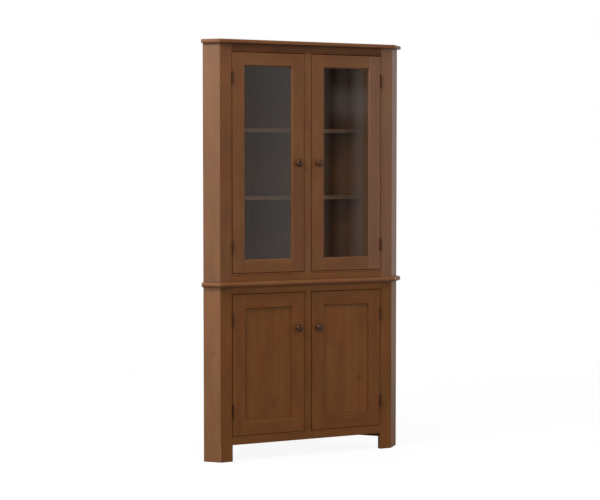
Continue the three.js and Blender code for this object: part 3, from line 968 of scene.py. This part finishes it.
def plate(bm, x, y, z, corner, matrix):
    """A leaf with its two back corners rounded."""
    outline = [(y[0], z[0])]
    corners = ((y[1] - corner, z[0] + corner), (y[1] - corner, z[1] - corner))
    for turn, (cy, cz) in enumerate(corners):
        for i in range(LEAF_CORNER_STEPS + 1):
            angle = math.pi / 2 * (turn - 1 + i / LEAF_CORNER_STEPS)
            outline.append((cy + corner * math.cos(angle), cz + corner * math.sin(angle)))
    outline.append((y[0], z[1]))
    sides = [[bm.verts.new(matrix @ Vector((at, py, pz))) for py, pz in outline] for at in x]
    bm.faces.new(sides[0])
    bm.faces.new(sides[1][::-1])
    wall(bm, sides[0], sides[1])


def box_between(bm, x, y, z, matrix):
    corners = [bm.verts.new(matrix @ Vector((a, b, c))) for a in x for b in y for c in z]
    sides = ((0, 1, 3, 2), (4, 6, 7, 5), (0, 4, 5, 1), (2, 3, 7, 6), (0, 2, 6, 4), (1, 5, 7, 3))
    for side in sides:
        bm.faces.new([corners[i] for i in side])


def knuckle_profile(radius, low, high, chamfer):
    return [
        (0, low),
        (radius - chamfer, low),
        (radius, low + chamfer),
        (radius, high - chamfer),
        (radius - chamfer, high),
        (0, high),
    ]


def finial_profile(low, high, radius):
    """A tapered tip on the pin, narrow at high."""
    rise = high - low
    stem = [outline_point(shares, radius, low, rise) for shares in FINIAL_STEM]
    tip = outline_point(FINIAL_TIP, radius, low, rise)
    return [(0, low)] + stem + curve(tip, (0, high), "along", FINIAL_STEPS)


def knuckle_spans(own):
    """Where the frame's knuckles (0) or the door's (1) lie, from the hinge's middle."""
    length = HINGE_LENGTH / KNUCKLES
    for i in range(own, KNUCKLES, 2):
        low = -HINGE_LENGTH / 2 + i * length
        yield low + KNUCKLE_SPLIT, low + length - KNUCKLE_SPLIT


def leaf_and_knuckles(bm, own, inwards, matrix, proud):
    """inwards is the side that the leaf lies on: -1 for the frame's, 1 for the door's."""
    gap = DOOR_GAP / 2
    x = sorted((inwards * (gap - proud), inwards * (gap + LEAF_THICKNESS)))
    half = HINGE_LENGTH / 2
    plate(bm, x, (0, LEAF_WIDTH), (-half, half), LEAF_CORNER, matrix)
    barrel = matrix @ Matrix.Translation((0, -PIN_PROUD, 0))
    for low, high in knuckle_spans(own):
        box_between(bm, x, (-PIN_PROUD, LEAF_THICKNESS), (low, high), matrix)
        profile = knuckle_profile(KNUCKLE_RADIUS, low, high, KNUCKLE_CHAMFER)
        revolve(bm, profile, HINGE_FACETS, barrel)


def screw_head(bm, matrix):
    """A countersunk head seen from above, with a cross recess."""
    reach, half = SCREW_RADIUS * CROSS_REACH, SCREW_RADIUS * CROSS_HALF_WIDTH
    arm = ((reach, -half), (reach, half), (half, half))
    cross = []
    for i in range(4):
        turn = Matrix.Rotation(math.pi / 2 * i, 2)
        cross += [tuple(turn @ Vector(point)) for point in arm]

    def ring(points, taper, depth):
        places = [Vector((x * taper, y * taper, -depth)) for x, y in points]
        return [bm.verts.new(matrix @ place) for place in places]

    rim = circle(SCREW_RADIUS, SCREW_FACETS)
    top = ring(rim, 1, 0)
    foot = ring(rim, SCREW_TAPER, SCREW_THICKNESS)
    lip = ring(cross, 1, 0)
    pit = ring(cross, CROSS_TAPER, CROSS_DEPTH)
    wall(bm, foot, top)
    wall(bm, lip, pit)
    bm.faces.new(pit)
    bm.faces.new(foot[::-1])
    edges = []
    for loop in (top, lip):
        edges += [bm.edges.get((a, b)) for a, b in zip(loop, loop[1:] + loop[:1])]
    bmesh.ops.triangle_fill(bm, edges=edges, use_beauty=True)


def leaf_screws(bm, inwards, matrix, proud):
    face = inwards * (DOOR_GAP / 2 - proud - LEAF_SCREW_PROUD)
    facing = Matrix.Rotation(math.radians(-90 * inwards), 4, "Y")
    for i in range(SCREWS_PER_LEAF):
        z = HINGE_LENGTH * ((i + 0.5) / SCREWS_PER_LEAF - 0.5) * LEAF_SCREWS_SPREAD
        y = LEAF_WIDTH * LEAF_SCREWS_ACROSS[i % 2]
        screw_head(bm, matrix @ Matrix.Translation((face, y, z)) @ facing)


def make_hinge(door, end, metal_look, screw_look):
    node = f"{door}_hinge_{end}"
    low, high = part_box(node)
    joint = next(joint for joint in frame["joints"] if joint["child"] == door)
    x, front = joint["pos_m"][0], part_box(door + "_lock_stile")[0].y
    towards_door = Matrix.Diagonal((1 if x < 0 else -1, 1, 1, 1))
    matrix = Matrix.Translation((x, front, (low.z + high.z) / 2)) @ towards_door
    tip = (high.z - low.z) / 2

    def frame_half(bm):
        leaf_and_knuckles(bm, 0, -1, matrix, 0)
        barrel = matrix @ Matrix.Translation((0, -PIN_PROUD, 0))
        start = HINGE_LENGTH / 2 - KNUCKLE_SPLIT
        for flip in (1, -1):
            turn = Matrix.Diagonal((1, 1, flip, 1))
            revolve(bm, finial_profile(start, tip, FINIAL_RADIUS), HINGE_FACETS, barrel @ turn)

    def door_half(bm):
        leaf_and_knuckles(bm, 1, 1, matrix, LEAF_PROUD)

    def frame_screws(bm):
        leaf_screws(bm, -1, matrix, 0)

    def door_screws(bm):
        leaf_screws(bm, 1, matrix, LEAF_PROUD)

    frame_side = metal_piece(node + "_frame_leaf", frame_half, metal_look, "cabinet")
    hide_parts(node)
    metal_piece(node + "_door_leaf", door_half, metal_look, door)
    metal_piece(node + "_frame_screws", frame_screws, screw_look, "cabinet", rounded=False)
    metal_piece(node + "_door_screws", door_screws, screw_look, door, rounded=False)


# Magnetic catches at the tops of the doors


def soft_box(bm, x, y, z, softness):
    """A box with softened edges."""
    start = len(bm.verts)
    box_between(bm, x, y, z, Matrix())
    bm.verts.ensure_lookup_table()
    edges = {edge for vert in bm.verts[start:] for edge in vert.link_edges}
    bmesh.ops.bevel(
        bm,
        geom=list(edges),
        offset=softness,
        offset_type="OFFSET",
        segments=SOFT_STEPS,
        profile=ROUND,
        affect="EDGES",
    )


def make_catch(door, housing_look, steel_look):
    """A housing behind the frame's top rail, which holds a steel plate on the door's back."""
    stile_low, stile_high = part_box(door + "_lock_stile")
    rail_low, rail_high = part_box(door.split("_")[0] + "_top_rail")
    middle = (stile_low.x + stile_high.x) / 2
    span = (middle - CATCH_LENGTH / 2, middle + CATCH_LENGTH / 2)
    drop = rail_low.z - CATCH_DROP
    ear_span = (rail_low.z + CATCH_MARGIN, drop + CATCH_HEIGHT)
    ear_back = rail_high.y + PLATE_THICKNESS
    plate_back = stile_high.y + PLATE_THICKNESS

    def housing(bm):
        depth = (rail_high.y, rail_high.y + CATCH_DEPTH)
        soft_box(bm, span, depth, (drop, drop + CATCH_HEIGHT), CATCH_SOFTNESS)
        wide = (span[0] - CATCH_EAR, span[1] + CATCH_EAR)
        soft_box(bm, wide, (rail_high.y, ear_back), ear_span, CATCH_SOFTNESS / 2)

    def keepers(bm):
        ends = (span[0] + CATCH_SOFTNESS * 2, span[1] - CATCH_SOFTNESS * 2)
        depth = (plate_back + CATCH_ROOM, rail_high.y + CATCH_MARGIN)
        for share in KEEPER_PLACES:
            z = drop + CATCH_DROP * share
            soft_box(bm, ends, depth, (z, z + PLATE_THICKNESS), KEEPER_SOFTNESS)

    def screws(bm):
        for x in (span[0] - CATCH_EAR / 2, span[1] + CATCH_EAR / 2):
            place = Matrix.Translation((x, ear_back + CATCH_SCREW_PROUD, sum(ear_span) / 2))
            screw_head(bm, place @ Matrix.Rotation(math.radians(-90), 4, "X"))

    def strike(bm):
        ends = (span[0] + PLATE_MARGIN, span[1] - PLATE_MARGIN)
        height = (drop + CATCH_MARGIN, drop + CATCH_DROP)
        soft_box(bm, ends, (stile_high.y, plate_back), height, PLATE_SOFTNESS)

    metal_piece(door + "_catch_housing", housing, housing_look, "cabinet")
    metal_piece(door + "_catch_keepers", keepers, steel_look, "cabinet")
    metal_piece(door + "_catch_screws", screws, steel_look, "cabinet")
    metal_piece(door + "_catch_plate", strike, steel_look, door)


# Nails of the backs


def nail_profile():
    shoulder = (NAIL_RADIUS * NAIL_SHOULDER[0], NAIL_DOME * NAIL_SHOULDER[1])
    shank = [(0, -NAIL_DEPTH), (NAIL_RADIUS, -NAIL_DEPTH), (NAIL_RADIUS, 0)]
    return shank + [shoulder, (0, NAIL_DOME)]


def make_nails(unit, boards, look):
    """Two nails to each board of a back, along each shelf or floor board that they hold."""
    for side_name, side in (("right", 1), ("left", -1)):
        step = board_step(*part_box(f"{unit}_{side_name}_back"))
        facing = Vector((side, 1, 0)).to_track_quat("Z", "Y").to_matrix().to_4x4()
        runs = [(i + share) * step for i in range(BOARDS_PER_BACK) for share in NAIL_SHARES]

        def build(bm):
            for board in boards:
                z = sum(corner.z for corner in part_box(board)) / 2
                for run in runs:
                    place = Matrix.Translation((side * run, cad_high.y - run, z))
                    revolve(bm, nail_profile(), NAIL_FACETS, place @ facing)

        metal_piece(f"{unit}_{side_name}_back_nails", build, look, "cabinet")


def make_metalwork():
    bronze = metal("knob_bronze", *KNOB_BRONZE)
    iron = metal("hinge_iron", *HINGE_IRON)
    steel = metal("screw_steel", *SCREW_STEEL)
    housing = metal("catch_brown", *CATCH_BROWN)
    for door in doors:
        make_knob(door, bronze)
        make_catch(door, housing, steel)
        for end in ("low", "high"):
            make_hinge(door, end, iron, steel)
    make_nails("base", ("base_floor", "base_shelf"), steel)
    make_nails("upper", ("upper_floor", "upper_shelf_low", "upper_shelf_high"), steel)


def dress_glass():
    glass = pane_glass()
    for name, solid in nodes.items():
        if name.endswith("_glass"):
            solid.data.materials.clear()
            solid.data.materials.append(glass)


bpy.context.scene.view_settings.view_transform = "Standard"
place_camera()
place_floor()
set_world()
place_glowing_card()
place_softboxes()
make_boards()
make_metalwork()
dress_glass()
